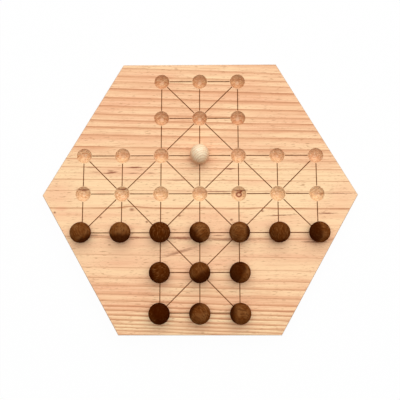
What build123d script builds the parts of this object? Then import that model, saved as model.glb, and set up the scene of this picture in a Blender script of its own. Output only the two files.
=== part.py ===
"""Fox and geese board: a hexagonal pine board with round seats and play lines, and its wooden balls.

Frame: the origin is the centre of the board's underside. +X runs corner to corner and along the grain,
+Y points to the flat side where the fox starts, and +Z is up. All sizes are in millimetres.
"""

import os
from itertools import product
from math import atan2, degrees, sqrt

from build123d import *

# Board
across_flats = 270.0  # a regular hexagon, with two of its corners on the X axis
board_thickness = 18.0
edge_break = 0.6  # sanded arris round the top and the underside

# Points of the game: a cross on a square grid, with arms three points wide
pitch = 38.5
arm_reach = 3  # grid steps from the middle point to the end of an arm
arm_half_width = 1  # grid steps from an arm's middle line to its side
field_offset = 1.3  # the middle point lies this far beyond the middle of the board

# Balls, and the seats that a ball-nosed cutter makes for them
ball_radius = 10.2
cutter_radius = 8.0
seat_depth = 5.0
rim_break = 0.4  # sanded rounding of a seat's edge
ball_gap = 0.1  # between a ball and that rounding

# Play lines
line_width = 0.7
line_depth = 0.4
line_end_gap = 0.3  # bare wood between the end of a line and the rounding of a seat

# The game as it is set up: the geese hold the near arm and the row beyond it, and the fox faces them
fox_point = (0, 1)
front_goose_row = -1

cutter_rise = cutter_radius - seat_depth  # the cutter's centre, above the board's top
cut_radius = sqrt(cutter_radius**2 - cutter_rise**2)  # where the cutter meets the board's top

# A ball rests on the rounding, whose own centre line is a circle just outside and below the cut
rounding_radius = sqrt((cutter_radius + rim_break) ** 2 - (cutter_rise + rim_break) ** 2)
ball_rise = sqrt((ball_radius + ball_gap + rim_break) ** 2 - rounding_radius**2) - rim_break


def on_cross(point: tuple[int, int]) -> bool:
    """Whether a grid point, given as (column, row) from the middle, is one of the game's points."""
    near, far = sorted((abs(point[0]), abs(point[1])))
    return near <= arm_half_width and far <= arm_reach


def place(point: tuple[int, int], height: float = 0.0) -> Vector:
    """Where a grid point lies, at a height above the board's underside."""
    return Vector(point[0] * pitch, point[1] * pitch + field_offset, height)


def lines_from(start: tuple[int, int]) -> list[tuple[tuple[int, int], tuple[int, int]]]:
    """The play lines that run from a point to the right or away from the player.

    Every point is joined to its neighbours in its row and its column. A point whose column and row add up
    to an even number is joined along the diagonals too, so that one diagonal crosses each grid square.
    """
    column, row = start
    ends = [(column + 1, row), (column, row + 1)]
    if (column + row) % 2 == 0:
        ends += [(column + 1, row + 1), (column - 1, row + 1)]
    # A line needs all the corners of the grid square that it crosses, so none cuts across an inner corner
    return [
        (start, end) for end in ends if all(map(on_cross, product((column, end[0]), (row, end[1]))))
    ]


grid = range(-arm_reach, arm_reach + 1)
points = [point for point in product(grid, grid) if on_cross(point)]
play_lines = [line for point in points for line in lines_from(point)]
goose_rows = range(front_goose_row, -arm_reach - 1, -1)
goose_points = [(column, row) for row in goose_rows for column in grid if on_cross((column, row))]

# The board
with BuildPart() as board:
    with BuildSketch():
        RegularPolygon(radius=across_flats / 2, side_count=6, major_radius=False)
    extrude(amount=board_thickness)
    chamfer(board.faces().filter_by(Axis.Z).edges(), length=edge_break)

    # Seats
    with Locations([place(point, board_thickness + cutter_rise) for point in points]):
        Sphere(radius=cutter_radius, mode=Mode.SUBTRACT)
    top_face = board.faces().sort_by(Axis.Z)[-1]
    fillet(top_face.inner_wires().edges(), radius=rim_break)

    # Play lines, as shallow round-ended grooves
    with BuildSketch(Plane.XY.offset(board_thickness)):
        for start, end in play_lines:
            way = place(end) - place(start)
            angle = degrees(atan2(way.Y, way.X))
            length = way.length - 2 * (rounding_radius + line_end_gap)
            with Locations(Location((place(start) + place(end)) / 2, (0, 0, angle))):
                SlotOverall(length, line_width)
    extrude(amount=-line_depth, mode=Mode.SUBTRACT)

os.makedirs("parts", exist_ok=True)
board.part.label = "board"
export_step(board.part, "parts/board.step")

# The balls, each on its own seat
ball_points = {"fox_ball": fox_point}
for number, point in enumerate(goose_points, start=1):
    ball_points[f"goose_ball_{number:02d}"] = point

for name, point in ball_points.items():
    with BuildPart() as ball:
        with Locations(place(point, board_thickness + ball_rise)):
            Sphere(radius=ball_radius)
    ball.part.label = name
    export_step(ball.part, f"parts/{name}.step")
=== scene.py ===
"""Dresses the fox and geese board: a pine panel with burnt play lines, and turned wooden balls."""

import logging
import math
from dataclasses import dataclass, field
from enum import Enum

import bmesh
import bpy
from mathutils import Matrix, Vector, noise

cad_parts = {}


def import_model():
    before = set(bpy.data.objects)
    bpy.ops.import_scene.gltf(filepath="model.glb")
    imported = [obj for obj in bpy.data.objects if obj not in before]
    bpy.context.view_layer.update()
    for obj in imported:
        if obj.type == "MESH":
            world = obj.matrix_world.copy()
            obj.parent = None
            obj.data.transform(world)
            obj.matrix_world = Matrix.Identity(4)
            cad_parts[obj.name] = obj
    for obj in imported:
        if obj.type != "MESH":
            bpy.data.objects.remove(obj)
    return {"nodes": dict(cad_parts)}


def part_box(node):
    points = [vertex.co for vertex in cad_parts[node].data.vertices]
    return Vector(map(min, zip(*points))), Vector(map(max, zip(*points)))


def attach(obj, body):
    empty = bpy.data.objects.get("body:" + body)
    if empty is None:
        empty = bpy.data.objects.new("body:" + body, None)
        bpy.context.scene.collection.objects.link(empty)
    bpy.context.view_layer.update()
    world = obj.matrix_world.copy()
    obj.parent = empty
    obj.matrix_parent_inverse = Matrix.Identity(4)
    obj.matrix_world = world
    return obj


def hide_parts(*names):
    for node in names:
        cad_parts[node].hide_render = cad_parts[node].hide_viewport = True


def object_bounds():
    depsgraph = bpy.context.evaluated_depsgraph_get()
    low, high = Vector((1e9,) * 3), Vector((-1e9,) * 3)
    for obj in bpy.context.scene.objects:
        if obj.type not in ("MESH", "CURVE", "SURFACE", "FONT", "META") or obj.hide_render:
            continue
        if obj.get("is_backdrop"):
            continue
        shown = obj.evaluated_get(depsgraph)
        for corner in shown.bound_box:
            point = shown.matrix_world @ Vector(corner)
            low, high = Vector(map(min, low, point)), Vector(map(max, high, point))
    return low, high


LOG = logging.getLogger("fox_and_geese")
MM = 0.001  # sizes below are in millimetres, and the scene's are in metres

Colour = tuple[float, float, float]
Span = tuple[float, float]  # where a ramp starts and where it ends


def srgb(red: int, green: int, blue: int) -> Colour:
    """A colour as a paint chart gives it, from 0 to 255, turned into the linear light that shaders use.

    Args:
        red: the red part.
        green: the green part.
        blue: the blue part.

    Returns:
        The linear colour.
    """

    def linear(part: int) -> float:
        """One part of the colour in linear light."""
        value = part / 255
        return value / 12.92 if value <= 0.04045 else ((value + 0.055) / 1.055) ** 2.4

    return linear(red), linear(green), linear(blue)


class Slot(Enum):
    """The record's material slots."""

    BOARD = "board_pine"
    GOOSE = "goose_wood"
    FOX = "fox_wood"


# ---- Shader arithmetic


class Field:
    """A number that varies over a surface: the output of a shader node, with the usual arithmetic."""

    def __init__(self, tree: bpy.types.NodeTree, socket: bpy.types.NodeSocket) -> None:
        """Keeps the node tree and the socket that the number comes from.

        Args:
            tree: the material's node tree.
            socket: the output socket.
        """
        self.tree = tree
        self.socket = socket

    def math(self, operation: str, *others: "float | Field", clamp: bool = False) -> "Field":
        """Adds one Math node with this field as its first input.

        Args:
            operation: the Math node's operation.
            others: the node's further inputs.
            clamp: whether the result is held between 0 and 1.

        Returns:
            The node's result.
        """
        node = self.tree.nodes.new("ShaderNodeMath")
        node.operation, node.use_clamp = operation, clamp
        for entry, value in zip(node.inputs, (self, *others)):
            if isinstance(value, Field):
                self.tree.links.new(value.socket, entry)
            else:
                entry.default_value = value
        return Field(self.tree, node.outputs[0])

    def __add__(self, other: "float | Field") -> "Field":
        """The sum."""
        return self.math("ADD", other)

    def __sub__(self, other: "float | Field") -> "Field":
        """The difference."""
        return self.math("SUBTRACT", other)

    def __mul__(self, other: "float | Field") -> "Field":
        """The product."""
        return self.math("MULTIPLY", other)

    def __truediv__(self, other: "float | Field") -> "Field":
        """The quotient."""
        return self.math("DIVIDE", other)

    def __neg__(self) -> "Field":
        """The opposite."""
        return self * -1.0

    def __abs__(self) -> "Field":
        """The distance from 0."""
        return self.math("ABSOLUTE")

    def inverse(self) -> "Field":
        """1 less this field, as a mask turned inside out."""
        return (-self) + 1.0

    def between(self, low: float, high: float) -> "Field":
        """This field, from 0 to 1, stretched to run from low to high."""
        return self * (high - low) + low

    def least(self, other: "float | Field") -> "Field":
        """The smaller of the two."""
        return self.math("MINIMUM", other)

    def most(self, other: "float | Field") -> "Field":
        """The larger of the two."""
        return self.math("MAXIMUM", other)

    def length(self, other: "Field") -> "Field":
        """The length of the flat vector that this field and the other make."""
        return (self * self + other * other).math("SQRT")

    def to_nearest(self, step: float) -> "Field":
        """The distance to the nearest multiple of a step."""
        return abs(self - (self / step).math("ROUND") * step)

    def ramp(self, start: float, end: float) -> "Field":
        """A smooth rise from 0 at start to 1 at end, or a fall where end is the lower.

        Args:
            start: where the ramp leaves 0.
            end: where it reaches 1.

        Returns:
            The ramp, between 0 and 1.
        """
        node = self.tree.nodes.new("ShaderNodeMapRange")
        node.interpolation_type = "SMOOTHSTEP"
        low, high = min(start, end), max(start, end)
        node.inputs["From Min"].default_value, node.inputs["From Max"].default_value = low, high
        self.tree.links.new(self.socket, node.inputs["Value"])
        rise = Field(self.tree, node.outputs["Result"])
        return rise if start < end else rise.inverse()

    def past(self, place: float, blend: Span) -> "Field":
        """A ramp about a place, between the two distances from it that the blend gives."""
        return self.ramp(place + blend[0], place + blend[1])

    def curve(self, points: list[tuple[float, float]]) -> "Field":
        """Straight runs from point to point, level beyond the first and the last.

        Args:
            points: the entry and the value at each one, with rising entries.

        Returns:
            The value at this field.
        """
        entries, values = zip(*points)
        first, last, low, high = entries[0], entries[-1], min(values), max(values)
        node = self.tree.nodes.new("ShaderNodeFloatCurve")
        line = node.mapping.curves[0]
        for entry in entries[1:-1]:
            line.points.new((entry - first) / (last - first), 0.0)
        for point, value in zip(line.points, values):
            point.location = (point.location[0], (value - low) / (high - low))
            point.handle_type = "VECTOR"
        node.mapping.update()
        share = (self - first).math("DIVIDE", last - first, clamp=True)
        self.tree.links.new(share.socket, node.inputs["Value"])
        return Field(self.tree, node.outputs[0]) * (high - low) + low


Amount = float | Field  # a number that may vary
Place = tuple[Field, Field, Field]  # the three parts of a place, in millimetres


@dataclass(frozen=True)
class Weave:
    """The size of a noise pattern's lumps, in millimetres, and how much finer noise lies on them."""

    along: float  # the grain
    across: float
    detail: float = 2.0  # how many finer layers are added
    rough: float = 0.5  # how strong each finer layer is beside the last
    strength: float = 1.0
    blend: Span | None = None  # from where a lump begins to show to where it is full


@dataclass(frozen=True)
class Tint:
    """A colour laid over the wood, and how much of it shows where its pattern is full."""

    colour: Colour
    share: float = 1.0


class Graph:
    """The node tree of one material, with short names for the nodes that the finishes use."""

    def __init__(self, name: str) -> None:
        """Starts an empty material.

        Args:
            name: the material's name.
        """
        self.material = bpy.data.materials.new(name)
        self.material.use_nodes = True
        self.tree = self.material.node_tree
        self.tree.nodes.clear()

    def node(self, kind: str) -> bpy.types.Node:
        """Adds a node of one kind."""
        return self.tree.nodes.new(kind)

    def split(self, socket: bpy.types.NodeSocket) -> Place:
        """Takes a vector socket apart.

        Args:
            socket: the vector.

        Returns:
            Its three parts.
        """
        parts = self.node("ShaderNodeSeparateXYZ")
        self.tree.links.new(socket, parts.inputs[0])
        return tuple(Field(self.tree, parts.outputs[axis]) for axis in "XYZ")

    def object_place(self) -> Place:
        """Where a surface point lies in the object's frame, in millimetres."""
        place = self.node("ShaderNodeTexCoord").outputs["Object"]
        return tuple(part / MM for part in self.split(place))

    def attribute(self, name: str) -> Place:
        """Reads a vector attribute of the mesh.

        Args:
            name: the attribute's name.

        Returns:
            Its three parts.
        """
        reader = self.node("ShaderNodeAttribute")
        reader.attribute_name = name
        return self.split(reader.outputs["Vector"])

    def facing(self) -> Place:
        """The surface's outward direction."""
        return self.split(self.node("ShaderNodeNewGeometry").outputs["Normal"])

    def join(self, x: Amount, y: Amount, z: Amount) -> bpy.types.NodeSocket:
        """Puts three fields or numbers together as a vector.

        Args:
            x: the first part.
            y: the second part.
            z: the third part.

        Returns:
            The vector's socket.
        """
        node = self.node("ShaderNodeCombineXYZ")
        for entry, value in zip(node.inputs, (x, y, z)):
            if isinstance(value, Field):
                self.tree.links.new(value.socket, entry)
            else:
                entry.default_value = value
        return node.outputs[0]

    def noise(self, x: Amount, y: Amount, z: Amount, detail: float = 2.0, rough: float = 0.5) -> Field:
        """Smooth noise about 0, whose lumps are about one unit across.

        Args:
            x: the first coordinate, already divided by the lumps' length that way.
            y: the second coordinate.
            z: the third coordinate.
            detail: how many finer layers are added.
            rough: how strong each finer layer is beside the last.

        Returns:
            The noise, nearly all of it between -0.5 and 0.5.
        """
        node = self.node("ShaderNodeTexNoise")
        node.inputs["Scale"].default_value = 1.0
        node.inputs["Detail"].default_value = detail
        node.inputs["Roughness"].default_value = rough
        self.tree.links.new(self.join(x, y, z), node.inputs["Vector"])
        return Field(self.tree, node.outputs[0]) - 0.5

    def woven(self, place: tuple[Amount, ...], weave: Weave, shift: Amount = 0.0) -> Field:
        """Noise drawn out along the grain.

        Args:
            place: where it is read, with the grain along the first part.
            weave: the size and the roughness of its lumps.
            shift: how many lumps it is moved along, so that no two patterns are alike.

        Returns:
            The noise, about 0, or from 0 to the weave's strength where it has a blend.
        """
        x, y, z = place
        across = weave.across
        lumps = self.noise(x / weave.along + shift, y / across, z / across, weave.detail, weave.rough)
        return (lumps.ramp(*weave.blend) if weave.blend else lumps) * weave.strength

    def paint(self, colour: Colour) -> bpy.types.NodeSocket:
        """Makes the first coat of a pattern.

        Args:
            colour: its one colour.

        Returns:
            The colour's socket.
        """
        node = self.node("ShaderNodeRGB")
        node.outputs[0].default_value = (*colour, 1.0)
        return node.outputs[0]

    def coat(
        self, under: bpy.types.NodeSocket, colour: Colour, amount: Field, multiply: bool = False
    ) -> bpy.types.NodeSocket:
        """Lays a colour over another by an amount that varies.

        Args:
            under: the colour so far.
            colour: the colour laid over it.
            amount: how much of it, from 0 to 1.
            multiply: whether it stains what is under it rather than covering it.

        Returns:
            The new colour.
        """
        node = self.node("ShaderNodeMix")
        node.data_type = "RGBA"
        node.blend_type = "MULTIPLY" if multiply else "MIX"
        node.clamp_factor = True
        self.tree.links.new(amount.socket, node.inputs["Factor"])
        self.tree.links.new(under, node.inputs["A"])
        node.inputs["B"].default_value = (*colour, 1.0)
        return node.outputs["Result"]

    def tint(
        self, under: bpy.types.NodeSocket, tint: Tint, pattern: Field, multiply: bool = False
    ) -> bpy.types.NodeSocket:
        """Lays a tint over a colour where a pattern, from 0 to 1, says."""
        return self.coat(under, tint.colour, pattern * tint.share, multiply)

    def finish(
        self, colour: bpy.types.NodeSocket, roughness: Field, relief: Field, relief_mm: float, gloss: Amount
    ) -> bpy.types.Material:
        """Ends the tree with its shader.

        Args:
            colour: the surface colour.
            roughness: the surface roughness.
            relief: the height of the surface's fine relief.
            relief_mm: the depth that 1 of the relief stands for, in millimetres.
            gloss: the specular level.

        Returns:
            The finished material.
        """
        bump = self.node("ShaderNodeBump")
        bump.inputs["Strength"].default_value = 1.0
        bump.inputs["Distance"].default_value = relief_mm * MM
        self.tree.links.new(relief.socket, bump.inputs["Height"])
        shader = self.node("ShaderNodeBsdfPrincipled")
        if isinstance(gloss, Field):
            self.tree.links.new(gloss.socket, shader.inputs["Specular IOR Level"])
        else:
            shader.inputs["Specular IOR Level"].default_value = gloss
        self.tree.links.new(colour, shader.inputs["Base Color"])
        self.tree.links.new(roughness.socket, shader.inputs["Roughness"])
        self.tree.links.new(bump.outputs["Normal"], shader.inputs["Normal"])
        output = self.node("ShaderNodeOutputMaterial")
        self.tree.links.new(shader.outputs[0], output.inputs["Surface"])
        return self.material


# ---- The board


@dataclass(frozen=True)
class Streak:
    """A dark mark of resin in the pine, drawn out along the grain.

    Sizes are in millimetres from the middle of the board's top.
    """

    x: float
    y: float
    length: float
    width: float
    strength: float
    climb: float = 0.0  # rise along its length, as a share of it


@dataclass(frozen=True)
class Knot:
    """A pin knot, which the grain flows round. Sizes are in millimetres."""

    x: float
    y: float
    radius: float
    strength: float


@dataclass(frozen=True)
class GameField:
    """Where the seats and the play lines lie on the board, in millimetres."""

    pitch: float = 38.5
    offset: float = 1.3  # the middle point, beyond the middle of the board
    reach: int = 3  # grid steps from the middle point to the end of an arm
    half_width: int = 1  # grid steps from an arm's middle line to its side
    cross_blend: float = 0.02  # grid steps over which the cross ends
    room: float = 1.3  # seat radii round a point that count as near it
    line_width: float = 0.7
    line_start: float = 7.98  # from a seat's middle to the end of a line
    start_blend: Span = (-0.3, 0.1)  # about that start
    line_fray: float = 0.2  # how far the burn's edge strays
    line_blend: Span = (0.12, -0.02)  # beyond the side of a line
    scorch_blend: Span = (0.5, -0.1)
    seat_radius: float = 7.68
    seat_blend: Span = (0.1, -0.2)  # beyond that radius
    tip_radius: float = 1.9  # the pale spot at a seat's bottom, partly the burnish of the cutter's tip and partly a painted highlight
    tip_blend: Span = (0.8, -0.8)

    def on_grid(self, x: Field, y: Field) -> tuple[Field, Field]:
        """A place's column and row on the grid, from the middle point."""
        return x / self.pitch, (y - self.offset) / self.pitch

    def in_cross(self, column: Field, row: Field, margin: float, blend: float) -> Field:
        """Tells whether a place lies in the cross.

        Args:
            column: its column on the grid.
            row: its row.
            margin: the grid steps that the cross is widened by.
            blend: the grid steps over which it then ends.

        Returns:
            1 inside and 0 outside.
        """
        far, near = abs(column).most(abs(row)), abs(column).least(abs(row))
        lengthways = far.ramp(self.reach + margin + blend, self.reach + margin)
        return lengthways * near.ramp(self.half_width + margin + blend, self.half_width + margin)

    def in_seat(self, x: Field, y: Field) -> tuple[Field, Field]:
        """How far along and how far across a place lies from the nearest point."""
        column, row = self.on_grid(x, y)
        return (column - column.math("ROUND")) * self.pitch, (row - row.math("ROUND")) * self.pitch

    def burn(self, x: Field, y: Field, wander: Field) -> tuple[Field, Field, Field, Field]:
        """How strongly the play lines and the seats mark each place.

        Lines run along the grid, and along the diagonals between points whose column and row add up to an
        even number.

        Args:
            x: the place along the board.
            y: the place across it.
            wander: the unevenness of the burn, about 0.

        Returns:
            The burnt line itself, the faint scorching beside it, the seats, and the spots at their bottoms.
        """
        column, row = self.on_grid(x, y)
        across, along = column.to_nearest(1.0), row.to_nearest(1.0)
        rising = (column - row).to_nearest(2.0) * math.sqrt(0.5)
        falling = (column + row).to_nearest(2.0) * math.sqrt(0.5)
        from_line = across.least(along).least(rising).least(falling) * self.pitch
        from_point = across.length(along) * self.pitch

        margin, half = self.line_width / self.pitch, self.line_width / 2
        on_lines = self.in_cross(column, row, margin, margin)
        on_lines = on_lines * from_point.past(self.line_start, self.start_blend)
        edge = from_line + wander * self.line_fray
        line = edge.past(half, self.line_blend) * on_lines
        scorch = edge.past(half, self.scorch_blend) * on_lines
        near_point = self.in_cross(column, row, self.seat_radius * self.room / self.pitch, self.cross_blend)
        seat = from_point.past(self.seat_radius, self.seat_blend) * near_point
        return line, scorch, seat, (from_point + wander).past(self.tip_radius, self.tip_blend)


@dataclass(frozen=True)
class Growth:
    """The growth rings of the pine, as fields."""

    rings: Field  # the ring number, whose whole values are the dark latewood edges
    to_edge: Field  # the way to the next edge along the top, in millimetres
    strength: Field  # how strong the latewood is
    grown: Field  # the growth since the heart line, in millimetres


@dataclass(frozen=True)
class Latewood:
    """The dark outer side of the growth rings, as fields from 0 to 1."""

    band: Field
    core: Field  # its darkest part
    vigour: Field  # how strongly both show
    busy: Field  # how much of the fine grain shows


@dataclass(frozen=True)
class PineFinish:
    """Oiled pine as one solid block of growth rings, so that cuts and edges show the rings they run through.

    The rings are wide cylinders about an axis deep below the board, so their layers come up to the top
    along lines that crowd together away from the heart line. Sizes are in millimetres.
    """

    thickness: float = 18.0
    across_flats: float = 270.0
    game: GameField = GameField()

    heart_y: float = -25.65  # the line where the rings lie flat under the top
    heart_depth: float = 100.0  # from the top to the axis of the rings
    deep_ring: float = 4.0  # the width of the rings that lie under the heart line
    straightest_y: float = -12.0  # where the grain runs straightest
    grain_slope: float = -0.004  # the lines there fall a little towards +X
    grain_taper: float = -0.00027  # and more so away from there
    # where the dark edge of each ring comes up to the top, halfway along the grain, and how strong it is
    far_rings: tuple[tuple[float, float], ...] = (
        (-12.0, 1.0), (4.5, 0.55), (15.5, 0.9), (21.5, 0.25), (27.5, 0.8), (36.0, 0.7), (48.0, 0.75),
        (60.0, 0.65), (68.0, 0.85), (75.0, 0.85), (81.0, 0.7), (89.5, 0.8), (98.0, 0.85), (107.5, 1.0),
        (114.5, 0.35), (120.5, 0.6), (129.0, 0.5), (138.0, 0.5),
    )
    near_rings: tuple[tuple[float, float], ...] = (
        (-44.0, 0.6), (-60.5, 0.6), (-73.0, 0.6), (-83.5, 0.7), (-91.0, 0.6), (-99.5, 0.65), (-106.0, 0.85),
        (-111.0, 0.95), (-115.0, 0.8), (-119.5, 1.0), (-124.0, 0.8), (-128.0, 0.7), (-131.0, 0.6),
        (-134.0, 0.7), (-138.0, 0.7),
    )

    sway: Weave = Weave(110.0, 60.0, detail=1.0, strength=1.2)  # how the rings wander over a long way
    ripple: Weave = Weave(18.0, 8.0, detail=3.0, rough=0.6, strength=0.9)  # and over a short one
    knot_stretch: float = 3.0  # how much longer than wide the grain's bend round a knot is
    knot_middle: float = 0.3  # keeps the bend soft over the knot
    knot_bend: Span = (4.0, 0.5)  # in knot radii, from where the bend starts to where it is full

    thin_band: Span = (1.5, 0.3)  # the dark latewood near the heart line, in millimetres before a ring's edge
    broad_band: Span = (0.35, 0.92)  # and far from it, as a share of the ring
    band_end: Span = (0.0, 0.55)  # how sharply it stops at the edge
    sharp_core: Span = (1.0, 0.35)  # its darkest part
    soft_core: Span = (2.5, 0.6)
    core_softness: float = 0.6
    outer_wood: Span = (7.0, 22.0)  # millimetres grown, from the broad inner rings to the narrow outer ones
    inner_strength: float = 0.5  # how strong the bands of the inner rings are beside the outer ones
    ring_patches: Weave = Weave(1.0, 50.0, blend=(-0.3, 0.15))  # from ring to ring, and along the grain
    ring_step: float = 7.3  # keeps one ring's patches apart from the next one's
    ring_level: float = 250.0
    patchiness: Span = (0.5, 1.0)  # what the patches leave of a ring's strength, at least and at most
    weakest: float = 0.12  # the share of a band that shows where it is at its faintest
    false_rings: float = 2.6  # to each true ring
    false_fray: float = 0.5
    false_rise: Span = (0.45, 0.85)
    false_end: Span = (1.0, 0.88)
    false_clouds: Span = (-0.2, 0.2)
    quiet: float = 0.4  # how much of the fine grain shows near the heart line

    fibres: Weave = Weave(30.0, 1.0, detail=3.0, rough=0.6)
    fibre_blend: Span = (0.0, 0.22)
    strands: Weave = Weave(45.0, 1.7, blend=(0.0, 0.2))
    clouds: Weave = Weave(70.0, 11.0)
    coarse_flecks: Weave = Weave(7.0, 0.9, detail=1.0, blend=(0.09, 0.24))
    fine_flecks: Weave = Weave(3.0, 0.6, detail=1.0, strength=0.8, blend=(0.12, 0.28))
    fine_shift: float = 40.0
    fleck_patches: Weave = Weave(26.0, 12.0, blend=(-0.28, 0.12))
    ragged: Weave = Weave(4.0, 1.0, detail=3.0, rough=0.65)  # the edges of marks
    ragged_level: float = 3.0

    middle_y: float = 8.0  # the golden band across the board
    middle_blend: Span = (52.0, 12.0)
    far_blend: Span = (106.0, 124.0)  # and its golden far edge
    sapwood_blend: Span = (-108.0, -126.0)  # its yellower near edge
    pallor_y: float = -82.0  # and a pale patch on the near right
    pallor_x_blend: Span = (25.0, 60.0)
    pallor_y_blend: Span = (40.0, 15.0)
    rosiness: float = 0.28  # how rosy the wood is where nothing changes it
    rosy_clouds: float = 1.9
    rosy_middle: float = -0.25
    rosy_edge: float = -0.2
    blush_fray: float = 1.5
    mark_fray: float = 2.0
    mark_edge: Span = (1.4, 0.2)  # in half widths, from outside a mark to its full strength
    heart_stretch: float = 1.3  # how much longer than wide the dark heart of a knot is
    heart_size: float = 1.3  # its reach, in knot radii
    heart_fray: float = 0.9
    pocket_fray: float = 1.2
    pocket_rim: Span = (1.4, 0.3)  # millimetres from the middle of its dark rim
    rim_strength: float = 0.9
    rim_patches: float = 0.8
    mark_depth: Span = (-9.0, -4.0)  # millimetres from the top, where marks fade out

    milled_blend: Span = (6.0, 0.0)  # the cutter's stain, and painted shade in the seats; it fades towards a seat's far side, which the light shades already
    milled_share: Span = (0.1, 1.0)
    near_blend: Span = (0.0, -4.0)  # and a little towards its near one, so the near slope is painted lighter
    near_loss: float = -0.3
    tears: Weave = Weave(2.2, 1.3, rough=0.6)
    tear_blend: Span = (0.0, 0.22)
    tear_strength: float = 0.7
    slope_y: float = 1.8  # from a seat's middle to the middle of its far slope, which faces away from the light and gets painted shade
    slope_blend: Span = (4.2, 1.5)
    slope_tears: float = 0.8
    slope_strength: float = 0.45
    sheen_blend: Span = (0.0, -0.24)
    tip_blend: Span = (40.0, 80.0)  # the tip's spot, with its painted highlight, shows more in the far seats
    tip_highlight_share: Span = (0.2, 0.5)
    deep_blend: Span = (18.0, 110.0)
    end_blend: Span = (0.25, 1.0)  # how squarely a face cuts the grain, from where end grain begins to show
    end_share: Span = (0.5, 0.05)  # how much of it shows outside the seats and in them
    edge_blend: Span = (-0.9, -0.3)  # millimetres from the flats
    skin_blend: Span = (-0.65, -0.5)  # millimetres from the top, just below the play lines
    inside_blend: Span = (0.0, -0.15)  # and where a seat begins

    burn_edge: Weave = Weave(3.0, 3.0)
    burn_patches: Weave = Weave(12.0, 12.0, blend=(-0.4, 0.15))
    burn_level: float = 84.0
    burn_share: Span = (0.82, 1.0)

    pale: Colour = srgb(255, 214, 168)
    golden: Tint = Tint(srgb(255, 222, 174), 0.5)
    sapwood: Tint = Tint(srgb(255, 222, 174), 0.9)
    rosy: Tint = Tint(srgb(245, 184, 146))
    late: Tint = Tint(srgb(232, 170, 126))
    late_vigour: float = 0.95
    late_core: Tint = Tint(srgb(172, 98, 54))
    core_vigour: float = 0.85
    core_in_seat: float = 0.65  # how much of the core a cutter's polish hides
    false_ring: Tint = Tint(srgb(232, 170, 126), 0.55)
    fibre: Tint = Tint(srgb(224, 164, 122), 0.65)
    strand: Tint = Tint(srgb(224, 164, 122), 0.45)
    fleck: Tint = Tint(srgb(170, 110, 70), 0.7)
    end_grain: Tint = Tint(srgb(208, 152, 106))
    milled_stain_and_shade: Tint = Tint(srgb(238, 225, 212))  # what a cutter leaves, as a stain on the wood, and painted shade in the seats
    # tear-out in the seats, and painted shade on their far slopes
    tear_out_and_shade: Tint = Tint(srgb(180, 122, 80))
    sheen: Tint = Tint(srgb(255, 226, 192), 0.6)  # burnished wood between the tears
    # the pale spot at a seat's bottom: the cutter's burnish and a painted highlight
    tip: Tint = Tint(srgb(255, 226, 192))
    deep: Tint = Tint(srgb(232, 218, 206), 0.9)  # how the seats darken towards the far side
    resin: Tint = Tint(srgb(130, 56, 22))
    edge_shade: Tint = Tint(srgb(198, 166, 134), 0.6)  # painted shade along the edge round the top, standing for a sanded, rounded edge in shade
    scorch: Tint = Tint(srgb(208, 130, 54), 0.5)
    char: Tint = Tint(srgb(94, 38, 0))
    gloss: float = 0.2
    roughness: float = 0.6
    band_roughness: float = -0.08
    line_roughness: float = 0.25
    fibre_roughness: float = 0.12
    relief: float = 0.05  # millimetres, which the shares below are of
    band_relief: float = 0.4
    fibre_relief: float = 0.6
    mark_relief: float = -0.3

    streaks: tuple[Streak, ...] = (
        Streak(-90.0, 22.3, 13.0, 1.3, 0.85, 0.03),
        Streak(-86.0, 23.3, 10.0, 1.6, 0.9),
        Streak(-89.0, 25.0, 7.0, 1.1, 0.5, -0.08),
        Streak(-66.5, 22.1, 13.0, 1.2, 0.6),
        Streak(-104.0, 23.4, 8.0, 0.9, 0.45),
        Streak(-60.0, 25.4, 12.0, 1.0, 0.4),
        Streak(-49.0, 22.3, 7.0, 1.2, 0.6),
        Streak(-108.0, 28.2, 17.0, 1.2, 0.65),
        Streak(-64.5, 28.0, 17.0, 1.6, 0.95),
        Streak(-22.0, 15.0, 20.0, 1.2, 0.6, -0.01),
        Streak(30.0, 26.3, 12.0, 1.7, 0.9),
        Streak(20.0, 3.4, 36.0, 1.6, 0.65),
        Streak(136.0, 1.3, 38.0, 0.9, 0.8, -0.01),
        Streak(119.5, 1.9, 9.0, 2.2, 0.45, -0.05),
        Streak(80.0, -20.2, 30.0, 1.2, 0.85, 0.04),
        Streak(124.0, -18.4, 18.0, 1.6, 0.8),
        Streak(18.0, -40.0, 14.0, 1.5, 0.6),
        Streak(-18.0, -42.6, 28.0, 3.2, 0.7),
        Streak(-62.0, -42.0, 28.0, 2.0, 0.6, -0.02),
        Streak(-104.0, -39.6, 22.0, 1.5, 0.6, -0.03),
        Streak(28.0, -44.2, 52.0, 3.0, 0.6, -0.01),
        Streak(112.0, -46.4, 30.0, 1.8, 0.65, -0.01),
        Streak(-20.0, -56.0, 32.0, 3.4, 0.55, 0.28),
        Streak(-115.8, 6.0, 14.0, 1.8, 0.8),
        Streak(-76.6, 6.5, 13.0, 1.8, 0.85),
        Streak(39.6, 5.0, 16.0, 1.5, 0.85, -0.02),
        Streak(40.5, 3.6, 4.2, 3.2, 1.0, 0.4),
    )
    pocket: Knot = Knot(38.9, 1.1, 2.2, 1.0)  # a resin pocket, which its seat cuts open as a ring
    blushes: tuple[Streak, ...] = (
        Streak(-76.0, 24.0, 64.0, 13.0, 0.6),
        Streak(-97.0, 2.4, 18.0, 5.0, 0.4),
        Streak(-6.0, 4.0, 50.0, 6.0, 0.3),
        Streak(-137.0, -13.5, 14.0, 6.0, 0.7),
        Streak(-20.0, -57.0, 60.0, 11.0, 0.4),
        Streak(-140.0, 2.0, 34.0, 26.0, 0.5),
        Streak(142.0, 0.0, 30.0, 26.0, 0.4),
        Streak(-60.0, -66.0, 110.0, 10.0, 0.35),
        Streak(104.0, 38.0, 50.0, 10.0, 0.4),
    )
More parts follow.
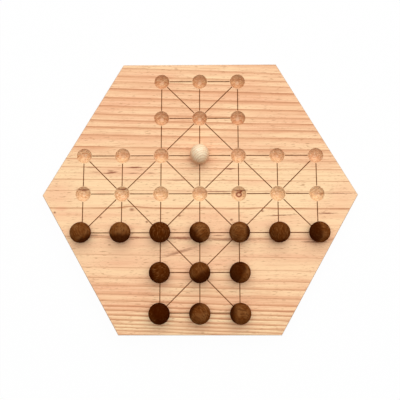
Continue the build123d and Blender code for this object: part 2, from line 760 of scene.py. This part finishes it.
    knots: tuple[Knot, ...] = (
        Knot(-67.0, -14.0, 2.2, 0.65),
        Knot(-97.5, -22.0, 1.2, 0.7),
        Knot(-52.0, -26.5, 1.3, 0.8),
        Knot(-20.0, -20.5, 1.4, 0.7),
        Knot(31.0, -24.5, 1.3, 0.8),
        Knot(61.5, -16.0, 1.4, 0.8),
        Knot(-143.0, -17.0, 1.3, 0.8),
    )

    def growth(self, graph: Graph, place: Place) -> Growth:
        """Counts the growth rings at each place, with the wander of real grain.

        Args:
            graph: the material's nodes.
            place: where the rings are read.

        Returns:
            The rings.
        """
        x, y, z = place
        fall = abs(y - self.straightest_y) * self.grain_taper + self.grain_slope
        across = y - x * fall + graph.woven(place, self.sway) + graph.woven(place, self.ripple)
        for knot in self.knots:
            away = ((x - knot.x) / self.knot_stretch).length(y - knot.y)
            side = ((y - knot.y) / (away + self.knot_middle)) * knot.radius
            across = across - side * away.ramp(*(knot.radius * part for part in self.knot_bend))
        from_heart = across - self.heart_y
        outward = from_heart.length(z - (self.thickness - self.heart_depth))
        grown = outward - self.heart_depth
        # where this place's ring comes up to the top, or 0 for a ring that stays below it
        at_top = (grown * (outward + self.heart_depth)).most(0.0).math("SQRT") * from_heart.math("SIGN")
        near, far = self.near_rings[::-1], self.far_rings
        places = [y - self.heart_y for y, _ in near + far]
        first = len(near)
        count = list(zip(places, [*range(first, 0, -1), *range(1, len(far) + 1)]))
        count.insert(first, (0.0, 0.5))
        widths = [((low + high) / 2, high - low) for low, high in zip(places, places[1:])]
        widths[first - 1] = (0.0, self.deep_ring)
        strengths = [(start, strength) for start, (_, strength) in zip(places, near + far)]
        rings = at_top.curve(count) + grown.least(0.0) / self.deep_ring
        to_edge = rings.math("FRACT").inverse() * at_top.curve(widths)
        return Growth(rings, to_edge, at_top.curve(strengths), grown)

    def latewood(self, graph: Graph, x: Field, growth: Growth) -> Latewood:
        """Shades the rings: thin dark lines near the heart line, and broad bands far from it.

        Args:
            graph: the material's nodes.
            x: the place along the grain.
            growth: the rings.

        Returns:
            The latewood.
        """
        to_edge, outer = growth.to_edge, growth.grown.ramp(*self.outer_wood)
        ending = to_edge.ramp(*self.band_end)
        thin = to_edge.ramp(*self.thin_band) * ending
        broad = growth.rings.math("FRACT").ramp(*self.broad_band) * ending
        ring = growth.rings.math("FLOOR") * self.ring_step
        patchy = graph.woven((ring, x, self.ring_level), self.ring_patches)
        sharp, soft = to_edge.ramp(*self.sharp_core), to_edge.ramp(*self.soft_core)
        return Latewood(
            band=(thin + (broad - thin) * outer) * outer.between(self.inner_strength, 1.0),
            core=(sharp + (soft - sharp) * outer * self.core_softness) * ending,
            vigour=growth.strength * patchy.between(*self.patchiness),
            busy=outer.between(self.quiet, 1.0),
        )

    def edge(self, x: Field, y: Field) -> Field:
        """The narrow border along the hexagon's six sides, from 0 to 1."""
        slanted = abs(x) * math.cos(math.pi / 6) + abs(y) * math.sin(math.pi / 6)
        return slanted.most(abs(y)).past(self.across_flats / 2, self.edge_blend)

    def flecks(self, graph: Graph, place: Place) -> Field:
        """The short dark dashes of resin canals and open grain.

        Args:
            graph: the material's nodes.
            place: where they are read.

        Returns:
            The dashes, from 0 to 1.
        """
        coarse = graph.woven(place, self.coarse_flecks)
        fine = graph.woven(place, self.fine_flecks, self.fine_shift)
        return coarse.most(fine) * graph.woven(place, self.fleck_patches)

    def drawn_out(self, x: Field, y: Field, ragged: Field, streaks: tuple[Streak, ...]) -> Field:
        """Long soft marks that follow the grain.

        Args:
            x: the place along the grain.
            y: the place across it.
            ragged: the unevenness of their edges, about 0.
            streaks: the marks.

        Returns:
            The marks, from 0 to 1.
        """
        total = x * 0.0
        for streak in streaks:
            along = (x - streak.x) / (streak.length / 2)
            across = (y - streak.y - (x - streak.x) * streak.climb) / (streak.width / 2)
            away = along.length(across) + ragged
            total = total.most(away.ramp(*self.mark_edge) * streak.strength)
        return total

    def marks(self, graph: Graph, place: Place) -> Field:
        """The resin streaks, the hearts of the knots and the resin pocket.

        Args:
            graph: the material's nodes.
            place: where they are read.

        Returns:
            The marks, from 0 to 1.
        """
        x, y, z = place
        ragged = graph.woven((x, y, self.ragged_level), self.ragged)
        total = self.drawn_out(x, y, ragged * self.mark_fray, self.streaks)
        for knot in self.knots:
            away = ((x - knot.x) / self.heart_stretch).length(y - knot.y) + ragged * self.heart_fray
            total = total.most(away.ramp(knot.radius * self.heart_size, 0.0) * knot.strength)
        pocket = self.pocket
        away = (x - pocket.x).length(y - pocket.y) + ragged * self.pocket_fray
        rim = abs(away - pocket.radius).ramp(*self.pocket_rim) * pocket.strength
        rim = rim * (ragged * self.rim_patches + self.rim_strength)
        return total.most(rim) * z.past(self.thickness, self.mark_depth)

    def ground(self, graph: Graph, x: Field, y: Field, cloud: Field) -> bpy.types.NodeSocket:
        """Colours the wood between the rings: pale, golden in places, and rosy in clouds.

        Args:
            graph: the material's nodes.
            x: the place along the grain.
            y: the place across it.
            cloud: the unevenness of the wood's colour, about 0.

        Returns:
            The colour.
        """
        middle = abs(y - self.middle_y).ramp(*self.middle_blend)
        sapwood = y.ramp(*self.sapwood_blend)
        pallor = x.ramp(*self.pallor_x_blend) * abs(y - self.pallor_y).ramp(*self.pallor_y_blend)
        rosy = cloud * self.rosy_clouds + middle * self.rosy_middle + (pallor + sapwood) * self.rosy_edge
        colour = graph.paint(self.pale)
        colour = graph.tint(colour, self.golden, middle.most(y.ramp(*self.far_blend)))
        colour = graph.tint(colour, self.sapwood, sapwood)
        colour = graph.tint(colour, self.rosy, rosy.math("ADD", self.rosiness, clamp=True))
        return graph.tint(colour, self.rosy, self.drawn_out(x, y, cloud * self.blush_fray, self.blushes))

    def cut(
        self, graph: Graph, colour: bpy.types.NodeSocket, place: Place, inside: Field, tip: Field
    ) -> bpy.types.NodeSocket:
        """Colours the seats: a stain of the cut wood that is also painted shade, tear-out and painted shade
        on the far slope, burnished patches, a pale spot at each bottom that is partly burnish and partly a
        painted highlight, and darker seats towards the far side.

        Args:
            graph: the material's nodes.
            colour: the colour of the wood.
            place: where it is read.
            inside: whether a place is in a seat, from 0 to 1.
            tip: the spots at the seats' bottoms.

        Returns:
            The new colour.
        """
        x, y, _ = place
        aside, beyond = self.game.in_seat(x, y)
        # the cutter's stain with painted shade: less on the far slope, which the light shades, and less on
        # the near slope, painted lighter
        milled_stain_and_shade = beyond.ramp(*self.milled_blend).between(*self.milled_share)
        milled_stain_and_shade = milled_stain_and_shade + beyond.ramp(*self.near_blend) * self.near_loss
        tear_out_and_shade = graph.woven(place, self.tears)
        # painted shade on the far slope, which faces away from the light, broken up by the tear-out
        slope = aside.length(beyond - self.slope_y).ramp(*self.slope_blend)
        slope = slope * (tear_out_and_shade * self.slope_tears + self.slope_strength)
        tear_out_and_shade_amount = (tear_out_and_shade.ramp(*self.tear_blend) * self.tear_strength).most(slope)
        colour = graph.tint(colour, self.milled_stain_and_shade, inside * milled_stain_and_shade, multiply=True)
        colour = graph.tint(colour, self.tear_out_and_shade, tear_out_and_shade_amount * inside)
        colour = graph.tint(colour, self.sheen, tear_out_and_shade.ramp(*self.sheen_blend) * inside)
        # the spot at each seat's bottom: burnish and a painted highlight
        tip_highlight_share = y.ramp(*self.tip_blend).between(*self.tip_highlight_share)
        colour = graph.tint(colour, self.tip, tip * inside * tip_highlight_share)
        return graph.tint(colour, self.deep, inside * y.ramp(*self.deep_blend), multiply=True)

    def make(self, slot: Slot) -> bpy.types.Material:
        """Builds the material.

        Args:
            slot: the material slot that it is for.

        Returns:
            The material.
        """
        graph = Graph(slot.value)
        place = x, y, z = graph.object_place()
        growth = self.growth(graph, place)
        late = self.latewood(graph, x, growth)
        fibre, cloud = graph.woven(place, self.fibres), graph.woven(place, self.clouds)
        false_ring = (growth.rings * self.false_rings + fibre * self.false_fray).math("FRACT")
        false_ring = false_ring.ramp(*self.false_rise) * false_ring.ramp(*self.false_end)
        marks = self.marks(graph, place)

        line, scorch, seat, tip = self.game.burn(x, y, graph.woven((x, y, 0.0), self.burn_edge))
        skin = z.past(self.thickness, self.skin_blend)
        line, scorch = line * skin, scorch * skin
        inside = seat * z.past(self.thickness, self.inside_blend)
        charred = graph.woven((x, y, self.burn_level), self.burn_patches)

        colour = self.ground(graph, x, y, cloud)
        vigour, solid = late.vigour, (inside * self.core_in_seat).inverse()
        colour = graph.tint(colour, self.late, late.band * (vigour * self.late_vigour + self.weakest))
        dark = late.core * (vigour * self.core_vigour + self.weakest)
        colour = graph.tint(colour, self.late_core, dark * solid)
        colour = graph.tint(colour, self.false_ring, false_ring * cloud.ramp(*self.false_clouds) * late.busy)
        colour = graph.tint(colour, self.fibre, fibre.ramp(*self.fibre_blend) * late.busy)
        colour = graph.tint(colour, self.strand, graph.woven(place, self.strands) * late.busy)
        colour = graph.tint(colour, self.fleck, self.flecks(graph, place))
        ends = abs(graph.facing()[0]).ramp(*self.end_blend)
        colour = graph.tint(colour, self.end_grain, ends * inside.between(*self.end_share))
        colour = self.cut(graph, colour, place, inside, tip)
        colour = graph.tint(colour, self.resin, marks)
        # painted shade along the top's edge
        colour = graph.tint(colour, self.edge_shade, self.edge(x, y) * skin)
        colour = graph.tint(colour, self.scorch, scorch)
        colour = graph.tint(colour, self.char, line * charred.between(*self.burn_share))

        roughness = late.band * self.band_roughness + line * self.line_roughness + self.roughness
        roughness = roughness + fibre * self.fibre_roughness
        relief = late.band * self.band_relief + fibre * self.fibre_relief + marks * self.mark_relief
        return graph.finish(colour, roughness, relief, self.relief, gloss=line.between(self.gloss, 0.0))


@dataclass
class Board:
    """The hexagonal pine board, whose form is the CAD node's own."""

    node: bpy.types.Object
    finish: PineFinish

    def dress(self) -> None:
        """Gives the board its solid pine."""
        self.node.data.materials.clear()
        self.node.data.materials.append(self.finish.make(Slot.BOARD))
        LOG.info("board: dressed in solid pine with burnt play lines")


# ---- The balls


@dataclass(frozen=True)
class BallFinish:
    """Fine-grained hardwood, plain or stained, with the rings of the small billet that a ball is turned from.

    The pattern reads the ball's own grain attribute, in millimetres about its middle, with the grain along X.
    Its tone attribute holds how dark the ball is, how much of it is its dark side, and a number of its own.
    """

    body: Colour
    deep: Colour
    ring: Colour
    pore: Colour
    worn: Colour
    heart_y: float = -15.0  # the axis of the rings, which runs beside the ball
    heart_z: float = -3.0
    drift: Weave = Weave(8.0, 6.0)
    sway: Weave = Weave(12.0, 8.0, strength=2.4)
    fibres: Weave = Weave(5.0, 1.6, detail=3.0, rough=0.7)
    rays: Weave = Weave(4.0, 1.1, detail=3.0, rough=0.6)
    pores: Weave = Weave(2.4, 0.3, detail=1.0, blend=(0.1, 0.26))
    patch_step: float = 5.1  # keeps one ring's patches apart from the next one's
    patch_length: float = 20.0
    patch_blend: Span = (-0.25, 0.2)
    patch_share: Span = (0.4, 1.0)
    ring_width: float = 1.9
    ring_rise: Span = (0.1, 0.9)  # as shares of the ring
    ring_end: Span = (1.0, 0.88)
    ring_strength: float = 0.35
    worn_blend: Span = (-0.12, 0.2)  # where the wood is rubbed pale
    worn_share: Span = (0.2, 0.7)
    worn_tone: Span = (0.9, 0.0)  # less so on a dark ball
    deep_tone: Span = (0.2, 1.0)
    deep_strength: float = 0.75
    light_rays: Span = (-0.02, 0.24)
    dark_rays: Span = (-0.02, -0.24)
    ray_strength: float = 0.45
    ray_share: Span = (1.0, 0.25)  # how much of the light rays shows off the dark side and on it
    side_strength: float = 0.85  # how much darker the dark side is
    side_start: float = 11.25  # where it begins, in millimetres
    side_blend: float = 4.5  # how softly it begins, in millimetres
    side_reach: float = 18.0  # how far the share moves that beginning
    side_drift: float = 8.0  # and how far the grain does
    side_rays: float = 3.0
    fibre_blend: Span = (0.0, 0.2)
    fibre_strength: float = 0.6
    fibre_roughness: float = 0.15
    fibre_relief: float = 0.5
    pore_strength: float = 0.4
    pore_relief: float = -0.5
    gloss: float = 0.0
    roughness: float = 0.5
    relief: float = 0.05  # millimetres

    def make(self, slot: Slot) -> bpy.types.Material:
        """Builds the material.

        Args:
            slot: the material slot that it is for.

        Returns:
            The material.
        """
        graph = Graph(slot.value)
        place = x, y, z = graph.attribute(TurnedBall.GRAIN)
        tone, share, seed = graph.attribute(TurnedBall.TONE)
        drift, sway = graph.woven(place, self.drift, seed), graph.woven(place, self.sway, -seed)
        fibre, rays = graph.woven(place, self.fibres, seed), graph.woven(place, self.rays, seed)
        pores = graph.woven(place, self.pores)
        rings = ((y - self.heart_y).length(z - self.heart_z) + sway) / self.ring_width
        in_ring = rings.math("FRACT")
        band = in_ring.ramp(*self.ring_rise) * in_ring.ramp(*self.ring_end)
        ring = rings.math("FLOOR") * self.patch_step
        patchy = graph.noise(ring, x / self.patch_length, seed).ramp(*self.patch_blend)
        half = self.side_blend / 2
        side = x + drift * self.side_drift + rays * self.side_rays + share * self.side_reach
        side = side.past(self.side_start, (-half, half))

        worn = drift.ramp(*self.worn_blend).between(*self.worn_share) * tone.ramp(*self.worn_tone)
        light = rays.ramp(*self.light_rays) * side.between(*self.ray_share)
        colour = graph.paint(self.body)
        colour = graph.coat(colour, self.worn, worn)
        colour = graph.coat(colour, self.deep, tone.ramp(*self.deep_tone) * self.deep_strength)
        colour = graph.coat(colour, self.ring, band * patchy.between(*self.patch_share) * self.ring_strength)
        # the darker side of each ball; on the fox it is painted shade
        colour = graph.coat(colour, self.deep, side * self.side_strength)
        colour = graph.coat(colour, self.worn, light * self.ray_strength)
        colour = graph.coat(colour, self.deep, rays.ramp(*self.dark_rays) * self.ray_strength)
        colour = graph.coat(colour, self.pore, fibre.ramp(*self.fibre_blend) * self.fibre_strength)
        colour = graph.coat(colour, self.pore, pores * self.pore_strength)
        roughness = fibre * self.fibre_roughness + self.roughness
        relief = fibre * self.fibre_relief + pores * self.pore_relief
        return graph.finish(colour, roughness, relief, self.relief, gloss=self.gloss)


@dataclass(frozen=True)
class Billet:
    """The piece of wood that a ball was turned from, and how it lies, with the side of the ball that is
    darker; on the fox that side is painted shade.
    """

    tone: float  # how dark the wood came out, from 0 to 1
    about: float  # the direction of its dark end, in degrees round from +X
    up: float  # and in degrees up from level
    share: float  # how much of the ball is dark, from 0 to 1
    roll: float = 0.0  # how far it is rolled about its own grain, in degrees


@dataclass
class TurnedBall:
    """One ball: turned, tumbled smooth, and so not quite round."""

    name: str
    slot: Slot
    number: int
    wood: Billet
    oval: float = 0.0  # how much narrower it is from side to side
    fineness: int = 5  # subdivisions of the icosphere
    flattening: float = 0.01  # at the grain's ends, where tumbling wears it faster
    unevenness: float = 0.1  # millimetres
    dents: float = 1.7  # to the radius
    dent_step: float = 11.0  # keeps the dents of one ball apart from the next one's
    seed_step: float = 7.3  # and its grain

    GRAIN = "grain"
    TONE = "tone"

    def turn(self) -> Matrix:
        """Works out how the ball lies.

        Returns:
            The turn from the world's axes to the ball's own, whose X runs along its grain.
        """
        about, up = math.radians(self.wood.about), math.radians(self.wood.up)
        grain = Vector((math.cos(about) * math.cos(up), math.sin(about) * math.cos(up), math.sin(up)))
        level = grain.rotation_difference(Vector((1.0, 0.0, 0.0))).to_matrix()
        return Matrix.Rotation(math.radians(self.wood.roll), 3, "X") @ level

    def build(self) -> bpy.types.Object:
        """Models the ball inside its CAD node's sphere and lets it stand for that node.

        Returns:
            The ball's object.
        """
        low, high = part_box(self.name)
        middle, radius = (low + high) / 2, (high.z - low.z) / 2
        to_grain = self.turn()
        shape = bmesh.new()
        bmesh.ops.create_icosphere(shape, subdivisions=self.fineness, radius=1.0)
        grain = shape.verts.layers.float_vector.new(self.GRAIN)
        tone = shape.verts.layers.float_vector.new(self.TONE)
        for vert in shape.verts:
            out = vert.co.normalized()
            own = to_grain @ out
            dent = 0.5 + 0.5 * noise.noise(own * self.dents + Vector((self.number * self.dent_step, 0, 0)))
            reach = radius * (1 - self.flattening * own.x**4) - self.unevenness * MM * max(dent, 0)
            vert[grain] = own * (reach / MM)
            vert[tone] = Vector((self.wood.tone, self.wood.share, self.number * self.seed_step))
            out.x *= 1 - self.oval
            vert.co = middle + out * reach
        mesh = bpy.data.meshes.new(f"{self.name}_turned")
        shape.to_mesh(mesh)
        shape.free()
        mesh.shade_smooth()
        ball = bpy.data.objects.new(f"{self.name}_turned", mesh)
        bpy.context.scene.collection.objects.link(ball)
        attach(ball, self.name)
        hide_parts(self.name)
        return ball

    def dress(self, ball: bpy.types.Object, material: bpy.types.Material) -> None:
        """Gives the ball its wood.

        Args:
            ball: the ball's object.
            material: the wood.
        """
        ball.data.materials.append(material)
        LOG.info("%s: turned and dressed as %s", self.name, self.slot.value)


@dataclass
class BallSet:
    """The fox and the geese."""

    geese: list[str]
    fox: str = "fox_ball"
    # from the front row's left to the arm's end
    billets: tuple[Billet, ...] = (
        Billet(0.3, -60.0, -10.0, 0.3),
        Billet(0.0, -90.0, 0.0, 0.5),
        Billet(0.7, 85.0, 10.0, 0.0),
        Billet(0.3, 215.0, 0.0, 0.45),
        Billet(0.1, -5.0, -5.0, 0.35),
        Billet(0.55, -80.0, 5.0, 0.15),
        Billet(0.4, 175.0, 15.0, 0.48),
        Billet(0.7, 200.0, 0.0, 0.3),
        Billet(0.45, -60.0, 5.0, 0.5),
        Billet(0.35, 160.0, 20.0, 0.6),
        Billet(0.85, 30.0, 20.0, 0.7),
        Billet(0.35, 140.0, 0.0, 0.3),
        Billet(0.35, 180.0, 0.0, 0.3),
    )
    # the fox's grain, and its dark end, which points down: painted shade, pale on top and darker at the
    # flanks and the bottom
    fox_grain_and_shade: Billet = Billet(0.1, -95.0, -84.0, 0.88, 36.0)
    fox_oval: float = 0.06
    stained: BallFinish = BallFinish(
        body=srgb(103, 47, 4),
        deep=srgb(58, 17, 0),
        ring=srgb(72, 28, 0),
        pore=srgb(56, 18, 0),
        worn=srgb(158, 108, 62),
    )
    plain: BallFinish = BallFinish(
        body=srgb(250, 225, 185),
        # also the colour of the fox's painted shade
        deep=srgb(218, 164, 122),
        ring=srgb(212, 162, 118),
        pore=srgb(228, 170, 124),
        worn=srgb(255, 242, 212),
        ring_width=2.2,
        ring_strength=0.65,
        ray_strength=0.25,
        # the fox's dark side is painted shade, soft and wide
        side_strength=0.88,
        side_blend=10.0,
        gloss=0.5,
        roughness=0.4,
    )

    def build(self) -> None:
        """Makes and dresses every ball."""
        stained, plain = self.stained.make(Slot.GOOSE), self.plain.make(Slot.FOX)
        for number, (name, billet) in enumerate(zip(self.geese, self.billets), 1):
            goose = TurnedBall(name, Slot.GOOSE, number, billet)
            goose.dress(goose.build(), stained)
        fox = TurnedBall(self.fox, Slot.FOX, 0, self.fox_grain_and_shade, self.fox_oval)
        fox.dress(fox.build(), plain)


# ---- The studio


@dataclass
class Studio:
    """A white floor, a soft overhead light from the far side, and a camera held above the board."""

    camera_place: Vector = field(default_factory=lambda: Vector((5.4, -75.6, 520.1)) * MM)
    camera_tilt: float = 8.01  # degrees from straight down, towards the far side
    camera_roll: float = 0.6
    camera_turn: float = -0.08
    lens: float = 46.28  # millimetres, as the sensor's width is
    sensor: float = 36.0
    ambient: float = 0.2
    lamp_azimuth: float = 74.0  # degrees round from +X towards +Y
    lamp_height: float = 66.0  # degrees up from the floor
    lamp_distance: float = 3.0  # metres, as the lamp's and the floor's sizes are
    lamp_size: float = 5.6
    lamp_power: float = 147.0
    floor_size: float = 6.0
    floor_white: float = 0.9
    floor_glow: float = 0.96  # how much of the floor's look is plain white

    def camera(self) -> None:
        """Sets up the camera."""
        data = bpy.data.cameras.new("camera")
        data.lens, data.sensor_width = self.lens, self.sensor
        data.clip_start, data.clip_end = 0.01, 20.0
        camera = bpy.data.objects.new("camera", data)
        camera.location = self.camera_place
        angles = (self.camera_tilt, self.camera_roll, self.camera_turn)
        camera.rotation_euler = [math.radians(angle) for angle in angles]
        bpy.context.scene.collection.objects.link(camera)
        bpy.context.scene.camera = camera

    def softbox(self) -> None:
        """Hangs the soft light, which faces the board."""
        azimuth, height = math.radians(self.lamp_azimuth), math.radians(self.lamp_height)
        level = math.cos(height)
        towards = Vector((math.cos(azimuth) * level, math.sin(azimuth) * level, math.sin(height)))
        data = bpy.data.lights.new("softbox", "AREA")
        data.shape, data.size, data.energy = "DISK", self.lamp_size, self.lamp_power
        light = bpy.data.objects.new("softbox", data)
        light.location = towards * self.lamp_distance
        light.rotation_euler = (-towards).to_track_quat("-Z", "Y").to_euler()
        bpy.context.scene.collection.objects.link(light)

    @staticmethod
    def seen(tree: bpy.types.NodeTree) -> Field:
        """Tells whether a place is looked at, straight or in a reflection, or only lights others.

        Args:
            tree: the node tree that asks.

        Returns:
            1 where it is looked at and 0 elsewhere.
        """
        rays = tree.nodes.new("ShaderNodeLightPath")
        seen = Field(tree, rays.outputs["Is Camera Ray"])
        for kind in ("Is Glossy Ray", "Is Transmission Ray"):
            seen = seen.most(Field(tree, rays.outputs[kind]))
        return seen

    def floor(self) -> None:
        """Lays the white floor, which keeps a faint shadow of the board."""
        shape = bmesh.new()
        bmesh.ops.create_grid(shape, x_segments=1, y_segments=1, size=self.floor_size)
        mesh = bpy.data.meshes.new("floor")
        shape.to_mesh(mesh)
        shape.free()
        floor = bpy.data.objects.new("floor", mesh)
        bpy.context.scene.collection.objects.link(floor)
        floor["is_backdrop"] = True

        graph = Graph("white_floor")
        paper = graph.node("ShaderNodeBsdfDiffuse")
        paper.inputs["Color"].default_value = (*[self.floor_white] * 3, 1.0)
        glow = graph.node("ShaderNodeEmission")
        glow.inputs["Strength"].default_value = 1.0
        mix = graph.node("ShaderNodeMixShader")
        graph.tree.links.new((self.seen(graph.tree) * self.floor_glow).socket, mix.inputs[0])
        graph.tree.links.new(paper.outputs[0], mix.inputs[1])
        graph.tree.links.new(glow.outputs[0], mix.inputs[2])
        output = graph.node("ShaderNodeOutputMaterial")
        graph.tree.links.new(mix.outputs[0], output.inputs["Surface"])
        mesh.materials.append(graph.material)

    def sky(self) -> None:
        """Fills the room with even white light, and shows it as plain white."""
        world = bpy.data.worlds.new("studio")
        world.use_nodes = True
        tree = world.node_tree
        background = tree.nodes["Background"]
        background.inputs["Color"].default_value = (1.0, 1.0, 1.0, 1.0)
        seen = self.seen(tree)
        strength = seen * (1.0 - self.ambient) + self.ambient
        tree.links.new(strength.socket, background.inputs["Strength"])
        bpy.context.scene.world = world

    def build(self) -> None:
        """Sets up the whole studio."""
        self.camera()
        self.sky()
        self.floor()
        self.softbox()
        bpy.context.scene.view_settings.view_transform = "Standard"
        LOG.info("studio: camera, light and floor are set")


def corners() -> list[list[float]]:
    """The lowest and highest corners of what is shown, as plain lists."""
    bpy.context.view_layer.update()
    return [[round(part, 6) for part in corner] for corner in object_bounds()]


def main() -> None:
    """Loads the frame, dresses each sub-assembly in turn and reports it."""
    logging.basicConfig(level=logging.INFO, format="%(name)s: %(message)s")
    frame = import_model()
    cad_corners = corners()
    Studio().build()
    Board(frame["nodes"]["board"], PineFinish()).dress()
    BallSet(sorted(name for name in frame["nodes"] if name.startswith("goose"))).build()
    {"cad": cad_corners, "visual": corners()}


if __name__ == "__main__":
    main()
